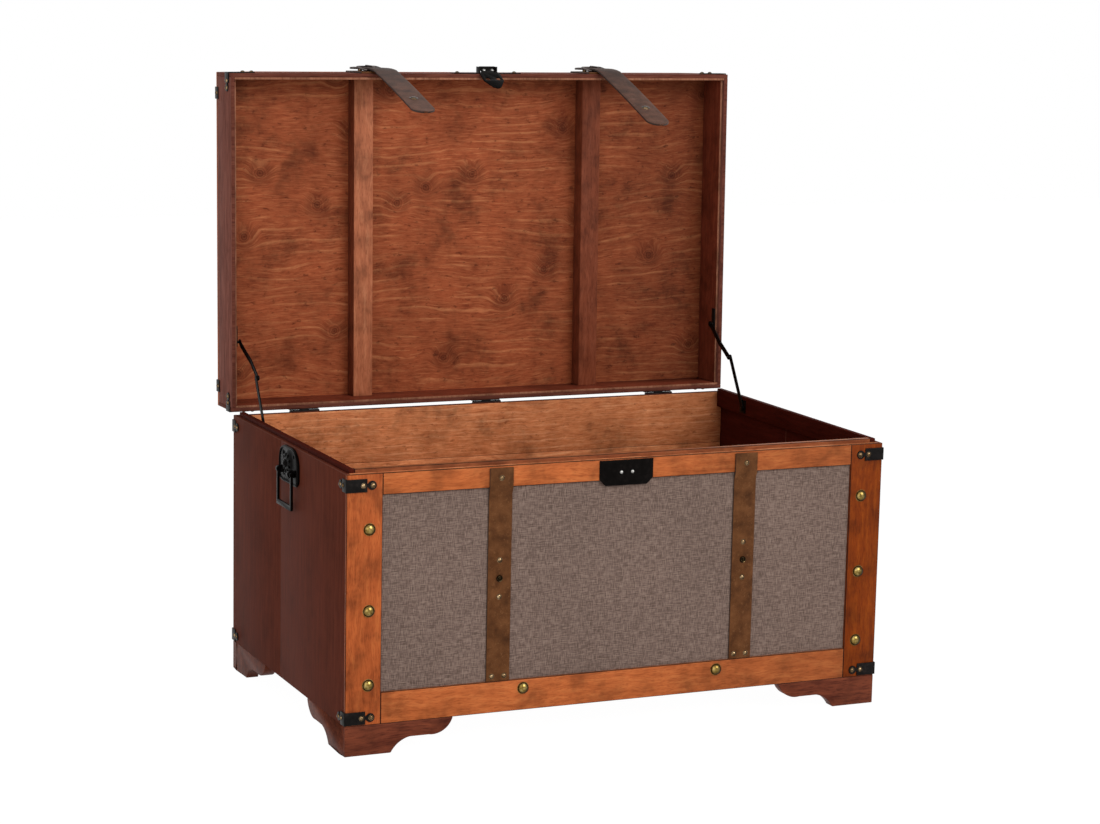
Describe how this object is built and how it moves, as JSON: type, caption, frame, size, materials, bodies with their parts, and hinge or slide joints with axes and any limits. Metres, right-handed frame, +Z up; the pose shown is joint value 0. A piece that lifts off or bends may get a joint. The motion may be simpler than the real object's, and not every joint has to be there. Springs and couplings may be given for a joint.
{
  "type": "lidded storage trunk",
  "caption": "Wooden storage trunk on bracket feet with a hinged lid, folding stays, a hasp, buckled leather straps and drop handles.",
  "frame": {"origin": "on the floor, under the centre of the carcass", "axes": "+X to the right along the front, -Y out of the front, +Z up"},
  "size_m": [0.826, 0.5882, 0.8818],
  "materials": {
    "frame_wood": "stained orange-brown, waxed",
    "side_wood": "stained dark red-brown, satin",
    "foot_wood": "stained dark red-brown, satin",
    "inner_wood": "knotty, blotchy stain",
    "lining_wood": "stained orange-brown, satin",
    "linen": "coarse woven, matt",
    "strap_leather": "worn, matt",
    "tongue_leather": "pale and worn, matt",
    "dark_iron": "blackened, satin",
    "brass": "aged, polished on the domes"
  },
  "bodies": {
    "carcass": {"back_board_lower": "side_wood", "back_board_upper": "side_wood", "base_blocks": "inner_wood", "carcass_rivets": "brass", "corner_brackets": "dark_iron", "dome_nails_front": "brass", "floor_panel": "inner_wood", "foot_front_left": "foot_wood", "foot_front_right": "foot_wood", "foot_rear_left": "foot_wood", "foot_rear_right": "foot_wood", "front_bottom_rail": "frame_wood", "front_linen": "linen", "front_panel": "inner_wood", "front_stile_left": "frame_wood", "front_stile_right": "frame_wood", "front_top_rail": "frame_wood", "handle_plate_left": "dark_iron", "handle_plate_right": "dark_iron", "hinge_leaves_carcass": "dark_iron", "lip_front": "lining_wood", "lip_sides": "side_wood", "lock_plate": "dark_iron", "side_board_left_front": "side_wood", "side_board_left_rear": "side_wood", "side_board_right_front": "side_wood", "side_board_right_rear": "side_wood", "stay_bases": "dark_iron", "strap_front_left": "strap_leather", "strap_front_right": "strap_leather", "strap_tabs_back": "strap_leather"},
    "lid": {"hasp_base": "dark_iron", "hinge_leaves_lid": "dark_iron", "lid_back_wall": "side_wood", "lid_battens": "inner_wood", "lid_corner_brackets": "dark_iron", "lid_dome_nails": "brass", "lid_fasteners": "brass", "lid_frame": "frame_wood", "lid_front_wall": "side_wood", "lid_left_wall": "side_wood", "lid_linen": "linen", "lid_linings": "lining_wood", "lid_panel": "inner_wood", "lid_right_wall": "side_wood", "lid_straps": "strap_leather", "stay_lid_brackets": "dark_iron"},
    "hasp": {"hasp_flap": "dark_iron"},
    "buckle_end_left": {"strap_root_left": "strap_leather", "buckle_left": "dark_iron"},
    "tongue_left": {"strap_tongue_left": "tongue_leather"},
    "stay_lower_left": {"stay_lower_arm_left": "dark_iron"},
    "stay_upper_left": {"stay_upper_arm_left": "dark_iron"},
    "bail_left": {"handle_bail_left": "dark_iron"},
    "buckle_end_right": {"strap_root_right": "strap_leather", "buckle_right": "dark_iron"},
    "tongue_right": {"strap_tongue_right": "tongue_leather"},
    "stay_lower_right": {"stay_lower_arm_right": "dark_iron"},
    "stay_upper_right": {"stay_upper_arm_right": "dark_iron"},
    "bail_right": {"handle_bail_right": "dark_iron"}
  },
  "joints": [
    {"name": "lid_hinge", "type": "hinge", "parent": "carcass", "child": "lid", "pos_m": [0, 0.249, 0.377], "axis": [1, 0, 0], "range_deg": [0, 91]},
    {"name": "hasp_hinge", "type": "hinge", "parent": "lid", "child": "hasp", "pos_m": [0, 0.26976, 0.87871], "axis": [1, 0, 0], "range_deg": [-32.01, 0]},
    {"name": "buckle_swivel_left", "type": "hinge", "parent": "lid", "child": "buckle_end_left", "pos_m": [-0.183, 0.31873, 0.87641], "axis": [0, -0.0175, -0.9998], "range_deg": [0, 20.51]},
    {"name": "tongue_fold_left", "type": "hinge", "parent": "buckle_end_left", "child": "tongue_left", "pos_m": [-0.18225, 0.26817, 0.87604], "axis": [-0.471, -0.0487, 0.8808], "range_deg": [0, 28.86]},
    {"name": "buckle_swivel_right", "type": "hinge", "parent": "lid", "child": "buckle_end_right", "pos_m": [0.183, 0.31873, 0.87641], "axis": [0, -0.0175, -0.9998], "range_deg": [0, 16.51]},
    {"name": "tongue_fold_right", "type": "hinge", "parent": "buckle_end_right", "child": "tongue_right", "pos_m": [0.18022, 0.26824, 0.87604], "axis": [-0.6802, -0.0636, 0.7302], "range_deg": [0, 27.47]},
    {"name": "stay_base_left", "type": "hinge", "parent": "carcass", "child": "stay_lower_left", "pos_m": [-0.3835, 0.1457, 0.366], "axis": [1, 0, 0], "range_deg": [0, 114.92]},
    {"name": "stay_elbow_left", "type": "hinge", "parent": "stay_lower_left", "child": "stay_upper_left", "pos_m": [-0.3807, 0.19032, 0.43929], "axis": [1, 0, 0], "range_deg": [-137.45, 0]},
    {"name": "stay_base_right", "type": "hinge", "parent": "carcass", "child": "stay_lower_right", "pos_m": [0.3835, 0.1457, 0.366], "axis": [1, 0, 0], "range_deg": [0, 114.92]},
    {"name": "stay_elbow_right", "type": "hinge", "parent": "stay_lower_right", "child": "stay_upper_right", "pos_m": [0.3807, 0.19032, 0.43929], "axis": [1, 0, 0], "range_deg": [-137.45, 0]},
    {"name": "bail_swing_left", "type": "hinge", "parent": "carcass", "child": "bail_left", "pos_m": [-0.408, -0.016, 0.342], "axis": [0, 1, 0], "range_deg": [0, 90]},
    {"name": "bail_swing_right", "type": "hinge", "parent": "carcass", "child": "bail_right", "pos_m": [0.408, -0.016, 0.342], "axis": [0, -1, 0], "range_deg": [0, 90]}
  ],
  "couplings": [
    {"joint": "hasp_hinge", "follows": "lid_hinge", "ratio": -0.35165},
    {"joint": "buckle_swivel_left", "follows": "lid_hinge", "ratio": 0.22528},
    {"joint": "tongue_fold_left", "follows": "lid_hinge", "ratio": 0.317},
    {"joint": "buckle_swivel_right", "follows": "lid_hinge", "ratio": 0.18132},
    {"joint": "tongue_fold_right", "follows": "lid_hinge", "ratio": 0.30177},
    {"joint": "stay_base_left", "follows": "lid_hinge", "ratio": 1.2623},
    {"joint": "stay_elbow_left", "follows": "lid_hinge", "ratio": -1.5099},
    {"joint": "stay_base_right", "follows": "lid_hinge", "ratio": 1.2623},
    {"joint": "stay_elbow_right", "follows": "lid_hinge", "ratio": -1.5099}
  ]
}
